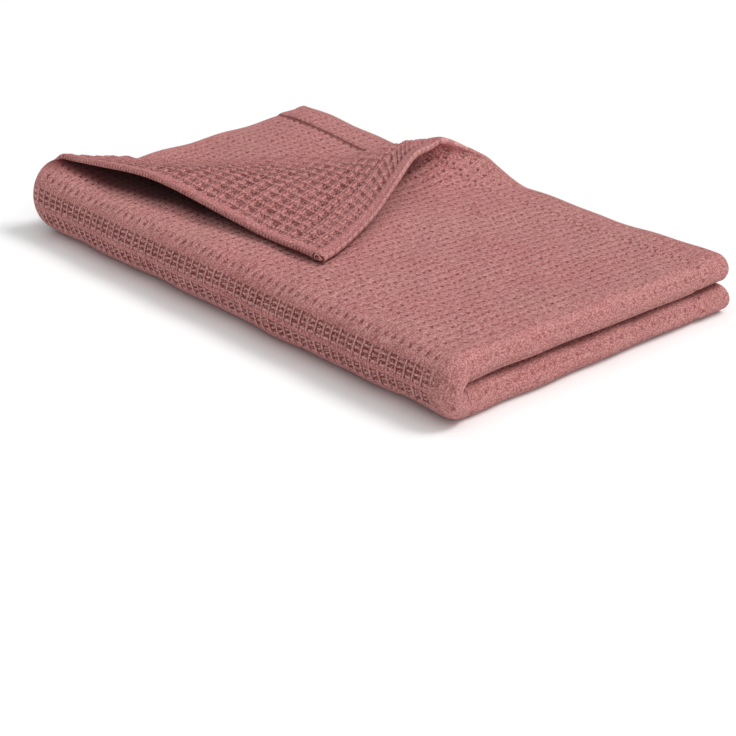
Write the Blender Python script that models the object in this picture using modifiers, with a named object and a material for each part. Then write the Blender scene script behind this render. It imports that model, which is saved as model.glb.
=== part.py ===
"""A dish towel of waffle cloth, folded in half twice, with one top corner turned back.

The towel is one rectangle of cloth.  U runs along its length and V along its
width, both in metres on the flat cloth.  The first fold halves the length and
leaves a round nose at the right end.  The second fold halves the width and
leaves one large round bend along the front.  That makes four layers:

    1  upper outer   U in the first half,  V in the first half
    2  upper inner   U in the second half, V in the first half
    3  lower inner   U in the second half, V in the second half
    4  lower outer   U in the first half,  V in the second half

X is along the folded towel, Y goes from the front bend to the open back edges,
and Z is up from the surface that the towel lies on.
"""
import math

import bmesh
import bpy
import numpy as np

# Flat cloth.  The soft weave gives a little, so it is longer round the folds than flat.
FLAT_LENGTH = 0.646
FLAT_WIDTH = 0.390
CLOTH_THICKNESS = 0.003
HEM_THICKNESS = 0.005
HEM_WIDTH = 0.022
HEM_STEP_WIDTH = 0.003      # the hem thins to the cloth over this width

# Folded towel: the nominal rectangle that the folds follow
FOLDED_LENGTH = 0.322
FOLDED_WIDTH = 0.194
LEFT = -FOLDED_LENGTH / 2
RIGHT = FOLDED_LENGTH / 2
FRONT = -FOLDED_WIDTH / 2
BACK = FOLDED_WIDTH / 2

# Height of the middle of each layer above the surface, at the corners of the rectangle
HEIGHT_COLUMNS = ("layer_1", "layer_2", "layer_3", "layer_4")
HEIGHTS = {
    "front_left": (0.0305, 0.0187, 0.0145, 0.0015),
    "front_right": (0.0300, 0.0179, 0.0137, 0.0015),
    "back_left": (0.0262, 0.0212, 0.0122, 0.0015),
    "back_right": (0.0270, 0.0160, 0.0118, 0.0015),
}

# Nose of the first fold and bend of the second fold, on the middle of the cloth
NOSE_RADIUS = 0.006
NOSE_CENTRE = RIGHT - CLOTH_THICKNESS / 2 - NOSE_RADIUS
BEND_RADIUS = (HEIGHTS["front_right"][0] - HEIGHTS["front_right"][3]) / 2
BEND_CENTRE = FRONT + CLOTH_THICKNESS / 2 + BEND_RADIUS
CORNER_BULGE = 0.0045       # further reach of the nose where the front bend takes it round
CORNER_FULLNESS = 0.55      # under 1, the nose stays wide as it goes round the front bend

# Flat stretches of the cloth from its edges to the nose and to the bend
RUN_LENGTH = NOSE_CENTRE - LEFT
RUN_WIDTH = BACK - BEND_CENTRE

# Layer 1 sags along the back edge, short of the nose; layer 2 swells up at its left edge
BACK_SAG = 0.0022
BACK_SAG_END = (0.100, 0.150)
LEFT_SWELL = 0.0030

# Soft waves across the two inner layers, which lie loose between the outer ones
WAVE_HEIGHT = 0.0011
WAVE_LENGTH = 0.118
WAVE_SLANT = 0.45
LAYER_3_WAVE = -0.6         # layer 3 waves the other way, and less
NOSE_CALM = (0.09, 0.02)    # the waves die out between these distances from the right end
BEND_CALM = 0.06            # and over this distance behind the front bend

# Unevenness of the open ends
BACK_LEFT_OUT = (0.012, 0.009)      # the back left corner of every layer lies this far out
CORNER_OUT_POWER = 1.5
BACK_RIGHT_IN = 0.0035              # the back right corner of the upper layers is drawn in
BACK_RIGHT_POWER = 8
LOWER_LEFT_SETBACK = 0.010          # the left end of the front bend is drawn in, most below
SETBACK_POWER = 6
SETBACK_DEPTH = 0.09
LOWER_LAYERS_OUT = 0.004            # the lower layers show past the upper ones at the open edges

# The turned-back corner of layer 1: its crease runs from the left end to the back edge
CREASE_LEFT = (-0.161, -0.082)
CREASE_BACK = (-0.0125, 0.097)
CREASE_BOW = 0.005          # the middle of the crease lies this far towards the tip
LEAST_REACH = 0.0006        # the flap's reach counts as at least this at the crease's ends
TIP = (0.0415, -0.0625)     # where the cloth's corner comes to lie
TIP_CLEARANCE = 0.0048      # from the middle of layer 1 to the middle of the tip
RAMP_WIDTH = 0.024          # the cloth starts to rise this far before the crease
RAMP_POWER = 1.5
# Along the crease, as a share of its length: the rise of the cloth before the roll,
# the roll's radius, and how far the flap arches up between the roll and the tip
ROLL_COLUMNS = ("along", "rise", "radius", "arch")
ROLL = (
    (0.00, 0.0040, 0.0022, 0.0060),
    (0.35, 0.0004, 0.0034, 0.0070),
    (0.65, 0.0030, 0.0037, 0.0040),
    (1.00, 0.0080, 0.0068, 0.0085),
)
ARCH_PEAK = 1 / 3           # the arch is highest at this share of the way to the tip
HEM_SLIP = 0.017            # the flap's hem end slips this far along the crease as it rolls over
HEM_SLIP_START = 0.55       # from this share of the crease's length onwards

# Centres the folded towel's box on X and Y
CENTRING = (0.0057, -0.0064)

# Grid of the flat cloth: one row for each stretch, as its end and its number of steps
GRID_U = (
    (RUN_LENGTH, 20),
    (FLAT_LENGTH - RUN_LENGTH, 8),
    (FLAT_LENGTH, 16),
)
GRID_V = (
    (HEM_WIDTH - HEM_STEP_WIDTH, 2),
    (HEM_WIDTH, 1),
    (RUN_WIDTH, 10),
    (FLAT_WIDTH - RUN_WIDTH, 12),
    (FLAT_WIDTH - HEM_WIDTH, 8),
    (FLAT_WIDTH - HEM_WIDTH + HEM_STEP_WIDTH, 1),
    (FLAT_WIDTH, 2),
)

# Further cuts across the roll, parallel to the crease
ROLL_CUTS = 17
ROLL_CUT_START = -0.0105
ROLL_CUT_STEP = 0.0018
CUT_SNAP = 0.0006           # a cut takes a grid point that is this close

TOWEL_NAME = "dish_towel"
TOWEL_COLOUR = (0.47, 0.19, 0.19, 1.0)
TOWEL_ROUGHNESS = 0.95


def mix(first, second, share):
    return first + (second - first) * share


def soft_step(low, high, value):
    share = np.clip((value - low) / (high - low), 0.0, 1.0)
    return share * share * (3.0 - 2.0 * share)


def layer_heights(x, y):
    """Height of the middle of layers 1 to 4 over a point, without waves or hems."""
    along = np.clip((x - LEFT) / FOLDED_LENGTH, 0.0, 1.0)
    across = np.clip((y - FRONT) / FOLDED_WIDTH, 0.0, 1.0)
    heights = []
    for layer in range(len(HEIGHT_COLUMNS)):
        front = mix(HEIGHTS["front_left"][layer], HEIGHTS["front_right"][layer], along)
        back = mix(HEIGHTS["back_left"][layer], HEIGHTS["back_right"][layer], along)
        heights.append(mix(front, back, across))
    heights[0] = heights[0] - BACK_SAG * across ** 2 * (1.0 - soft_step(*BACK_SAG_END, x))
    heights[1] = heights[1] + LEFT_SWELL * (1.0 - along) ** 2 * np.sin(math.pi * across)
    return heights


def hem_share(v):
    """1 on the hems along the two long edges of the cloth, 0 between them."""
    from_edge = np.minimum(v, FLAT_WIDTH - v)
    return 1.0 - soft_step(HEM_WIDTH - HEM_STEP_WIDTH, HEM_WIDTH, from_edge)


def inner_wave(x, y):
    """Soft waves that die out towards the nose and the front bend."""
    from_nose = 1.0 - soft_step(RIGHT - NOSE_CALM[0], RIGHT - NOSE_CALM[1], x)
    from_bend = soft_step(BEND_CENTRE, BEND_CENTRE + BEND_CALM, y)
    phase = 2 * math.pi * (x + WAVE_SLANT * y) / WAVE_LENGTH
    return WAVE_HEIGHT * from_nose * from_bend * np.sin(phase)


def fold(u, v):
    """Middle of the cloth at flat points U, V once both folds are made.

    Also returns outer, which is 1 on layers 1 and 4 and -1 on layers 2 and 3, and
    bend_angle, which goes from 0 on the upper layers to pi on the lower ones.
    """
    nose_angle = math.pi * np.clip((u - RUN_LENGTH) / (FLAT_LENGTH - 2 * RUN_LENGTH), 0.0, 1.0)
    outer = np.cos(nose_angle)
    out_and_back = LEFT + np.minimum(u, FLAT_LENGTH - u)
    x = np.minimum(out_and_back, NOSE_CENTRE) + NOSE_RADIUS * np.sin(nose_angle)

    bend_angle = math.pi * np.clip((v - RUN_WIDTH) / (FLAT_WIDTH - 2 * RUN_WIDTH), 0.0, 1.0)
    forward = np.sin(bend_angle)
    outer_share = ((outer + 1) / 2) ** mix(1.0, CORNER_FULLNESS, forward)
    high_1, high_2, high_3, high_4 = layer_heights(x, FRONT)
    radius = mix((high_2 - high_3) / 2, (high_1 - high_4) / 2, outer_share)
    out_and_back = BACK - np.minimum(v, FLAT_WIDTH - v)
    y = np.maximum(out_and_back, BEND_CENTRE) - radius * forward
    x = x + CORNER_BULGE * np.sin(nose_angle) * soft_step(0.0, 1.0, forward)

    high_1, high_2, high_3, high_4 = layer_heights(x, y)
    wave = inner_wave(x, y)
    hem = hem_share(v) * (HEM_THICKNESS - CLOTH_THICKNESS) / 2
    high_2 = high_2 + wave + hem
    high_3 = high_3 + LAYER_3_WAVE * wave - hem
    high_4 = high_4 + hem
    radius = mix((high_2 - high_3) / 2, (high_1 - high_4) / 2, outer_share)
    middle = mix((high_2 + high_3) / 2, (high_1 + high_4) / 2, (outer + 1) / 2)
    z = middle + radius * np.cos(bend_angle)
    return np.stack((x, y, z), axis=-1), outer, bend_angle


def loosen(points, outer, bend_angle):
    """Moves the open ends out and in, as loosely folded cloth lies."""
    x, y, z = points[..., 0], points[..., 1], points[..., 2]
    to_left = 1.0 - np.clip((x - LEFT) / FOLDED_LENGTH, 0.0, 1.0)
    to_back = np.clip((y - FRONT) / FOLDED_WIDTH, 0.0, 1.0)
    corner = (to_left * to_back) ** CORNER_OUT_POWER
    low = (1 - np.cos(bend_angle)) / 2
    lower = LOWER_LAYERS_OUT * low * corner
    near_front = 1.0 - soft_step(FRONT, FRONT + SETBACK_DEPTH, y)
    setback = LOWER_LEFT_SETBACK * low * near_front * to_left ** SETBACK_POWER * (outer + 1) / 2
    drawn_in = BACK_RIGHT_IN * (1 - low / 2) * to_back ** 2 * (1 - to_left) ** BACK_RIGHT_POWER
    x = x - BACK_LEFT_OUT[0] * corner - lower + setback - drawn_in
    y = y + BACK_LEFT_OUT[1] * corner + lower
    return np.stack((x, y, z), axis=-1)


def crease_axes():
    """Start of the crease, its direction, the direction to the cloth's corner, and its length."""
    start = np.array(CREASE_LEFT)
    run = np.array(CREASE_BACK) - start
    length = math.hypot(run[0], run[1])
    along = run / length
    outward = np.array((-along[1], along[0]))
    return start, along, outward, length


def roll_value(column, share):
    """One column of the ROLL table, eased from row to row."""
    place = ROLL_COLUMNS.index(column)
    value = ROLL[0][place] + 0.0 * share
    for before, after in zip(ROLL, ROLL[1:]):
        value = value + (after[place] - before[place]) * soft_step(before[0], after[0], share)
    return value


def arch_share(down):
    """0 at the roll and at the tip, 1 where the arch of the flap is highest."""
    power = 2 * (1 - ARCH_PEAK) / ARCH_PEAK
    highest = ARCH_PEAK ** 2 * (1 - ARCH_PEAK) ** power
    return down ** 2 * (1 - down) ** power / highest


def turn_corner(points, outer, bend_angle):
    """Rolls layer 1 back along its crease, so that the cloth's corner comes to lie at TIP."""
    start, along, outward, length = crease_axes()
    offset = points[..., :2] - start
    past = offset @ outward
    beside = offset @ along
    share = np.clip(beside / length, 0.0, 1.0)
    rise = roll_value("rise", share)
    radius = roll_value("radius", share)

    # How much the flap stretches and slides, so that its corner reaches the tip
    corner = np.array((LEFT - BACK_LEFT_OUT[0], BACK + BACK_LEFT_OUT[1])) - start
    corner_past, corner_beside = corner @ outward, corner @ along
    tip_past, tip_beside = (np.array(TIP) - start) @ outward, (np.array(TIP) - start) @ along
    tip_share = corner_beside / length
    tip_angle = math.atan(RAMP_POWER * max(roll_value("rise", tip_share), 0.0) / RAMP_WIDTH)
    tip_radius = roll_value("radius", tip_share)
    tip_travel = tip_radius * (math.pi - tip_angle - math.sin(tip_angle)) - tip_past
    stretch = tip_travel / corner_past
    slide = (tip_beside - corner_beside) / corner_past

    # The bow of the crease dies out towards the flap's two straight edges
    bow = CREASE_BOW * 4 * share * (1 - share)
    left_edge = corner_past * share * length / corner_beside
    back_edge = corner_past * (1 - share) * length / (length - corner_beside)
    edge = np.minimum(left_edge, back_edge)
    to_edge = np.clip((past + bow) / np.maximum(edge + bow, LEAST_REACH), 0.0, 1.0)
    bow_left = bow * (1 - to_edge) ** 2

    # Up the ramp and round the roll, then back over the towel and down to the tip
    first_angle = np.arctan(RAMP_POWER * np.maximum(rise, 0.0) / RAMP_WIDTH)
    roll_length = radius * (math.pi - first_angle)
    travel = np.maximum(stretch * (past + bow_left), 0.0)
    angle = first_angle + np.minimum(travel, roll_length) / radius
    back_over = np.maximum(travel - roll_length, 0.0)
    down = np.clip(back_over / -tip_past, 0.0, 1.0)
    arch = roll_value("arch", share) * arch_share(down)
    roll_height = rise + radius * (np.cos(first_angle) - np.cos(angle))
    height = mix(roll_height, TIP_CLEARANCE, down) + arch
    roll_past = radius * (np.sin(angle) - np.sin(first_angle))
    new_past = roll_past - back_over - bow_left
    rolled = soft_step(0.0, 1.0, travel / roll_length)
    slip = HEM_SLIP * soft_step(HEM_SLIP_START, 1.0, share) * rolled * (1 - down ** 2)
    new_beside = beside + slide * np.maximum(past + bow_left, 0.0) - slip
    flap_xy = start + new_beside[..., None] * along + new_past[..., None] * outward
    flap_z = layer_heights(flap_xy[..., 0], flap_xy[..., 1])[0] + height

    # In front of the crease the cloth only rises, or sinks, towards the roll
    layer_1 = (outer + 1) / 2 * np.maximum(np.cos(bend_angle), 0.0)
    to_crease = np.clip(1 + (past + bow) / RAMP_WIDTH, 0.0, 1.0)
    ramp = rise * to_crease ** RAMP_POWER * layer_1
    turned = (travel > 0) & (layer_1 == 1)
    x = np.where(turned, flap_xy[..., 0], points[..., 0])
    y = np.where(turned, flap_xy[..., 1], points[..., 1])
    z = np.where(turned, flap_z, points[..., 2] + ramp)
    return np.stack((x, y, z), axis=-1)


def place(u, v):
    """Middle of the folded towel's cloth at flat points U, V."""
    points, outer, bend_angle = fold(u, v)
    points = loosen(points, outer, bend_angle)
    points = turn_corner(points, outer, bend_angle)
    return points + np.array((CENTRING[0], CENTRING[1], 0.0))


def stations(rows):
    """Grid lines along one direction of the flat cloth, from its GRID table."""
    lines = [0.0]
    for end, steps in rows:
        begin = lines[-1]
        lines += [mix(begin, end, step / steps) for step in range(1, steps + 1)]
    return lines


def flat_cloth():
    """The flat cloth as a grid, its corners at 0, 0 and at FLAT_LENGTH, FLAT_WIDTH."""
    lines_u, lines_v = stations(GRID_U), stations(GRID_V)
    steps_u, steps_v = len(lines_u) - 1, len(lines_v) - 1
    cloth = bmesh.new()
    bmesh.ops.create_grid(cloth, x_segments=steps_u, y_segments=steps_v, size=0.5)
    for vertex in cloth.verts:
        column = round((vertex.co.x + 0.5) * steps_u)
        row = round((vertex.co.y + 0.5) * steps_v)
        vertex.co = (lines_u[column], lines_v[row], 0.0)
    return cloth


def cut_across_roll(cloth):
    """Adds lines of points parallel to the crease, where the cloth turns over."""
    start, _, outward, _ = crease_axes()
    flat_start = np.array((start[0] - LEFT, BACK - start[1], 0.0))
    flat_outward = np.array((outward[0], -outward[1], 0.0))
    for cut in range(ROLL_CUTS):
        past = ROLL_CUT_START + cut * ROLL_CUT_STEP
        bmesh.ops.bisect_plane(
            cloth,
            geom=cloth.verts[:] + cloth.edges[:] + cloth.faces[:],
            dist=CUT_SNAP,
            plane_co=flat_start + past * flat_outward,
            plane_no=flat_outward,
        )


def towel_material():
    material = bpy.data.materials.new("towel_cloth")
    material.use_nodes = True
    shader = material.node_tree.nodes["Principled BSDF"]
    shader.inputs["Base Color"].default_value = TOWEL_COLOUR
    shader.inputs["Roughness"].default_value = TOWEL_ROUGHNESS
    shader.inputs["Metallic"].default_value = 0.0
    return material


def make_towel(collection):
    """The folded towel: a sheet given its thickness, thicker along its hems."""
    cloth = flat_cloth()
    cut_across_roll(cloth)
    cloth.verts.index_update()
    u = np.array([vertex.co.x for vertex in cloth.verts])
    v = np.array([vertex.co.y for vertex in cloth.verts])
    for vertex, point in zip(cloth.verts, place(u, v)):
        vertex.co = point
    mesh = bpy.data.meshes.new(TOWEL_NAME)
    cloth.to_mesh(mesh)
    cloth.free()
    mesh.materials.append(towel_material())
    mesh.shade_smooth()

    towel = bpy.data.objects.new(TOWEL_NAME, mesh)
    collection.objects.link(towel)
    hem = towel.vertex_groups.new(name="hem")
    for index, share in enumerate(hem_share(v)):
        hem.add([index], float(share), "REPLACE")
    thicken = towel.modifiers.new("thickness", "SOLIDIFY")
    thicken.thickness = HEM_THICKNESS
    thicken.offset = 0.0
    thicken.use_even_offset = True
    thicken.vertex_group = hem.name
    thicken.thickness_vertex_group = CLOTH_THICKNESS / HEM_THICKNESS
    return towel


def clear_scene():
    for leftover in list(bpy.data.objects):
        bpy.data.objects.remove(leftover, do_unlink=True)


def main():
    clear_scene()
    collection = bpy.data.collections.new("Folded dish towel")
    bpy.context.scene.collection.children.link(collection)
    make_towel(collection)


main()
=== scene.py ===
"""Looks of a thick waffle-weave dish towel, folded in half twice, one corner turned back.

The towel is one sheet of cloth.  U runs along its length and V along its width, in
metres on the flat cloth.  Its outer face is the one outside both folds; the reverse
face shows on the turned-back corner and on the layer under it.  The waffle cells are
real hollows in both faces, and the finer yarns are bump in the material.
"""
import math
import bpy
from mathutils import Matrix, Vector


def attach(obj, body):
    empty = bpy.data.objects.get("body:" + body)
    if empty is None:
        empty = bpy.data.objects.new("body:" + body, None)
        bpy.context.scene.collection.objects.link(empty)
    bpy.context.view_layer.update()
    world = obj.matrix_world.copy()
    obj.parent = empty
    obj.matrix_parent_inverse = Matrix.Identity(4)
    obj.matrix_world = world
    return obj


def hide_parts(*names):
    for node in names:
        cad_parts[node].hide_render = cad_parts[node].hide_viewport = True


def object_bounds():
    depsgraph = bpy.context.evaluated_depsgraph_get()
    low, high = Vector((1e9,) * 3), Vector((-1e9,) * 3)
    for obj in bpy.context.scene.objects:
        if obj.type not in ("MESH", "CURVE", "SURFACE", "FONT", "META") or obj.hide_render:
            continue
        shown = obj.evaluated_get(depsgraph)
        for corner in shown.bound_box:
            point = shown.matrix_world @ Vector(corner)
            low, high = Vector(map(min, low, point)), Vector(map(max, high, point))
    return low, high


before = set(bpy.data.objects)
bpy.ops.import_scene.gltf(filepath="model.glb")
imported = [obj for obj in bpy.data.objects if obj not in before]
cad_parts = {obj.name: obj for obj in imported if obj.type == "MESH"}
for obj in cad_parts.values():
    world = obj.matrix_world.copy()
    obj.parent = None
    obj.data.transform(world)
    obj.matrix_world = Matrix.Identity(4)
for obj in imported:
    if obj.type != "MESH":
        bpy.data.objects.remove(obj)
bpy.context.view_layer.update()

from types import SimpleNamespace

import bpy
import numpy as np
from mathutils import Matrix, Vector

# ---- the folded shape
# Flat cloth
FLAT_LENGTH = 0.646
FLAT_WIDTH = 0.390
CLOTH_THICKNESS = 0.003
HEM_THICKNESS = 0.005
HEM_WIDTH = 0.022
HEM_STEP_WIDTH = 0.003      # the hem thins to the cloth over this width

# Folded towel: the nominal rectangle that the folds follow
FOLDED_LENGTH = 0.322
FOLDED_WIDTH = 0.194
LEFT = -FOLDED_LENGTH / 2
RIGHT = FOLDED_LENGTH / 2
FRONT = -FOLDED_WIDTH / 2
BACK = FOLDED_WIDTH / 2

# Height of the middle of each layer above the surface, at the corners of the rectangle
HEIGHT_COLUMNS = ("layer_1", "layer_2", "layer_3", "layer_4")
HEIGHTS = {
    "front_left": (0.0305, 0.0187, 0.0145, 0.0015),
    "front_right": (0.0300, 0.0179, 0.0137, 0.0015),
    "back_left": (0.0262, 0.0212, 0.0122, 0.0015),
    "back_right": (0.0270, 0.0160, 0.0118, 0.0015),
}

# Nose of the first fold and bend of the second fold, on the middle of the cloth
NOSE_RADIUS = 0.006
NOSE_CENTRE = RIGHT - CLOTH_THICKNESS / 2 - NOSE_RADIUS
BEND_RADIUS = (HEIGHTS["front_right"][0] - HEIGHTS["front_right"][3]) / 2
BEND_CENTRE = FRONT + CLOTH_THICKNESS / 2 + BEND_RADIUS
CORNER_BULGE = 0.0045       # further reach of the nose where the front bend takes it round
CORNER_FULLNESS = 0.55      # under 1, the nose stays wide as it goes round the front bend

# Flat stretches of the cloth from its edges to the nose and to the bend
RUN_LENGTH = NOSE_CENTRE - LEFT
RUN_WIDTH = BACK - BEND_CENTRE

# Layer 1 sags along the back edge, short of the nose; layer 2 swells up at its left edge
BACK_SAG = 0.0022
BACK_SAG_END = (0.100, 0.150)
LEFT_SWELL = 0.0030

# Soft waves across the two inner layers, which lie loose between the outer ones
WAVE_HEIGHT = 0.0011
WAVE_LENGTH = 0.118
WAVE_SLANT = 0.45
LAYER_3_WAVE = -0.6         # layer 3 waves the other way, and less
NOSE_CALM = (0.09, 0.02)    # the waves die out between these distances from the right end
BEND_CALM = 0.06            # and over this distance behind the front bend

# Unevenness of the open ends
BACK_LEFT_OUT = (0.012, 0.009)      # the back left corner of every layer lies this far out
CORNER_OUT_POWER = 1.5
BACK_RIGHT_IN = 0.0035              # the back right corner of the upper layers is drawn in
BACK_RIGHT_POWER = 8
LOWER_LEFT_SETBACK = 0.010          # the left end of the front bend is drawn in, most below
SETBACK_POWER = 6
SETBACK_DEPTH = 0.09
LOWER_LAYERS_OUT = 0.004            # the lower layers show past the upper ones at the edges

# The turned-back corner of layer 1: its crease runs from the left end to the back edge
CREASE_LEFT = (-0.161, -0.082)
CREASE_BACK = (-0.0125, 0.097)
CREASE_BOW = 0.005          # the middle of the crease lies this far towards the tip
LEAST_REACH = 0.0006        # the flap's reach counts as at least this at the crease's ends
TIP = (0.0415, -0.0625)     # where the cloth's corner comes to lie
TIP_CLEARANCE = 0.0048      # from the middle of layer 1 to the middle of the tip
RAMP_WIDTH = 0.024          # the cloth starts to rise this far before the crease
RAMP_POWER = 1.5
# Along the crease, as a share of its length: the rise of the cloth before the roll,
# the roll's radius, and how far the flap arches up between the roll and the tip
ROLL_COLUMNS = ("along", "rise", "radius", "arch")
ROLL = (
    (0.00, 0.0040, 0.0022, 0.0060),
    (0.35, 0.0004, 0.0034, 0.0070),
    (0.65, 0.0030, 0.0037, 0.0040),
    (1.00, 0.0080, 0.0068, 0.0085),
)
ARCH_PEAK = 1 / 3           # the arch is highest at this share of the way to the tip
HEM_SLIP = 0.017            # the flap's hem end slips this far along the crease
HEM_SLIP_START = 0.55       # from this share of the crease's length onwards

# Centres the folded towel's box on X and Y
CENTRING = (0.0057, -0.0064)

# ---- the waffle weave
CELLS_U = 118
CELLS_V = 52
HEM_CELLS = 3               # cells across a hem
STEPS_U = 4                 # steps of the fine grid across a cell that shows
STEPS_V = 6
# Width and length of a cell's hollow as shares of the cell, and its depth.  On the outer
# face the yarns close over the hollows where the cloth lies flat, and the hollows open into
# boxes where it stretches round the front bend.
HOLLOWS = {
    "flat": (0.46, 0.36, 0.0015),
    "bend": (0.84, 0.90, 0.0022),
    "reverse": (0.95, 0.90, 0.0025),
    "layer_2": (0.50, 0.40, 0.0012),
}
STILL_FLAT = 0.01           # a hollow this little wider than on flat cloth counts as flat
BETWEEN = 0.65              # a smaller hollow between each two along V, as a share of theirs
BEND_OPENS = (0.0045, 0.0115)       # the boxes open this far into the front bend
BESIDE_BEND = (-0.002, 0.003)       # and a fainter row of hollows lies beside them
BESIDE_BEND_STRENGTH = 0.6
BOXES_END = (-0.004, 0.004)         # round the start and the end of the nose
NOSE_CLOSES = (-0.012, 0.002)       # the yarns crowd together on the noses
NOSE_STRENGTH = 0.35
LAYER_2_STRENGTH = 0.85
LAYER_2_REVERSE = 0.25      # layer 2's share of the looks of the turned-back corner's face
ROLL_CALM = (0.006, 0.026)          # this far past the crease, on the turned-back corner
ROLL_STRENGTH = 0.45
HEM_HOLLOW_SHARE = 0.80     # the hems' cells are pressed flat to this share
HEM_HOLLOW_STEP = (-0.001, 0.002)   # round the hem's inner edge
EDGE_PLAIN = (0.003, 0.006)         # the cells start this far in from the cloth's long edges
SELVEDGE_WIDTH = 0.007      # plain band along the cloth's two short edges
SELVEDGE_PLAIN = 0.6        # this share of its width has no cells at all
HOLLOW_UNEVENNESS = 0.22
CELL_SEED = 7
SEAM_DEPTH = 0.0005         # the hems' seams sink this far into both faces
SEAM_HALF_WIDTH = 0.0012

# On the reverse face the cells grow from the cloth's corner towards the crease, since
# the turned-back corner is pulled out of shape: growth with the cell's number cubed
PULL = 0.0012
PULL_CELLS = 16             # no further growth from this cell on, which the roll hides
PULL_END = (18, 56)         # and back to even cells between these two, under layer 1
PULL_START_V = (0.0, 0.022)
PULL_END_V = (0.055, 0.11)

# Painted shade: the cloth's colour darkens in the fold under the turned-back corner, where shadow
# falls, this far in from its edges
PAINTED_SHADE_FROM_LEFT = (-0.006, 0.003)
PAINTED_SHADE_FROM_BACK = (0.030, 0.080)

# Lumps of the lying cloth: height, length of the wave on the flat cloth, its direction and phase
LUMPS = (
    (0.00035, 0.061, 0.35, 0.0),
    (0.00030, 0.043, 1.30, 2.1),
    (0.00020, 0.027, 2.40, 4.0),
)

# The hems are pressed a little flatter than their solid, and flat at their ends but for
# the roll along the fold
HEM_PRESSED = 0.9
HEM_END_PRESSED = 0.70
HEM_END_WIDTH = (0.002, 0.014)
HEM_ROLL_WIDTH = (0.006, 0.009)

# Round edges of the cloth
RIM_ROWS = 3
RIM_FULLNESS = 0.8
RIM_REACH_U = CLOTH_THICKNESS / 2 * RIM_FULLNESS
RIM_REACH_V = HEM_THICKNESS / 2 * RIM_FULLNESS
RIM_CELLS = 0.2             # the yarns go on over the rim by this share of a cell

# How far round the crease, the nose and the bend the fine grid goes
CREASE_MARGIN = 0.012
UNDER_FLAP_MARGIN = 0.025
LAYER_2_MARGIN = 0.020
FOLD_MARGIN = 0.005

DIRECTION_STEP = 0.0004     # the cloth's directions are taken over this distance each way

# Each face of the cloth: the sign of its normal, and its cells' shift from the outer face's
SIDES = {"outer": (1.0, 0.0), "reverse": (-1.0, 0.5)}

# What the material reads at each point: its cell and the weave's strength; the hollow's width
# and length and whether it is on the reverse face; the place on a rolled hem's end; the
# distance from a seam; and the painted shade under the turned-back corner
VECTOR_VALUES = ("weave", "hole", "roll_end")
NUMBER_VALUES = ("seam", "dusk")


def mix(first, second, share):
    return first + (second - first) * share


def soft_step(low, high, value):
    share = np.clip((value - low) / (high - low), 0.0, 1.0)
    return share * share * (3.0 - 2.0 * share)


# ---- the cloth's place
def layer_heights(x, y):
    """Height of the middle of layers 1 to 4 over a point, without waves or hems."""
    along = np.clip((x - LEFT) / FOLDED_LENGTH, 0.0, 1.0)
    across = np.clip((y - FRONT) / FOLDED_WIDTH, 0.0, 1.0)
    heights = []
    for layer in range(len(HEIGHT_COLUMNS)):
        front = mix(HEIGHTS["front_left"][layer], HEIGHTS["front_right"][layer], along)
        back = mix(HEIGHTS["back_left"][layer], HEIGHTS["back_right"][layer], along)
        heights.append(mix(front, back, across))
    heights[0] = heights[0] - BACK_SAG * across ** 2 * (1.0 - soft_step(*BACK_SAG_END, x))
    heights[1] = heights[1] + LEFT_SWELL * (1.0 - along) ** 2 * np.sin(math.pi * across)
    return heights


def hem_share(v):
    """1 on the hems along the two long edges of the cloth, 0 between them."""
    from_edge = np.minimum(v, FLAT_WIDTH - v)
    return 1.0 - soft_step(HEM_WIDTH - HEM_STEP_WIDTH, HEM_WIDTH, from_edge)


def inner_wave(x, y):
    """Soft waves that die out towards the nose and the front bend."""
    from_nose = 1.0 - soft_step(RIGHT - NOSE_CALM[0], RIGHT - NOSE_CALM[1], x)
    from_bend = soft_step(BEND_CENTRE, BEND_CENTRE + BEND_CALM, y)
    phase = 2 * math.pi * (x + WAVE_SLANT * y) / WAVE_LENGTH
    return WAVE_HEIGHT * from_nose * from_bend * np.sin(phase)


def fold(u, v):
    """Middle of the cloth at flat points U, V once both folds are made.

    Also returns outer, which is 1 on layers 1 and 4 and -1 on layers 2 and 3, and
    bend_angle, which goes from 0 on the upper layers to pi on the lower ones.
    """
    nose_angle = math.pi * np.clip((u - RUN_LENGTH) / (FLAT_LENGTH - 2 * RUN_LENGTH), 0.0, 1.0)
    outer = np.cos(nose_angle)
    out_and_back = LEFT + np.minimum(u, FLAT_LENGTH - u)
    x = np.minimum(out_and_back, NOSE_CENTRE) + NOSE_RADIUS * np.sin(nose_angle)

    bend_angle = math.pi * np.clip((v - RUN_WIDTH) / (FLAT_WIDTH - 2 * RUN_WIDTH), 0.0, 1.0)
    forward = np.sin(bend_angle)
    outer_share = ((outer + 1) / 2) ** mix(1.0, CORNER_FULLNESS, forward)
    high_1, high_2, high_3, high_4 = layer_heights(x, FRONT)
    radius = mix((high_2 - high_3) / 2, (high_1 - high_4) / 2, outer_share)
    out_and_back = BACK - np.minimum(v, FLAT_WIDTH - v)
    y = np.maximum(out_and_back, BEND_CENTRE) - radius * forward
    x = x + CORNER_BULGE * np.sin(nose_angle) * soft_step(0.0, 1.0, forward)

    high_1, high_2, high_3, high_4 = layer_heights(x, y)
    wave = inner_wave(x, y)
    hem = hem_share(v) * (HEM_THICKNESS - CLOTH_THICKNESS) / 2
    high_2 = high_2 + wave + hem
    high_3 = high_3 + LAYER_3_WAVE * wave - hem
    high_4 = high_4 + hem
    radius = mix((high_2 - high_3) / 2, (high_1 - high_4) / 2, outer_share)
    middle = mix((high_2 + high_3) / 2, (high_1 + high_4) / 2, (outer + 1) / 2)
    z = middle + radius * np.cos(bend_angle)
    return np.stack((x, y, z), axis=-1), outer, bend_angle


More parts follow.
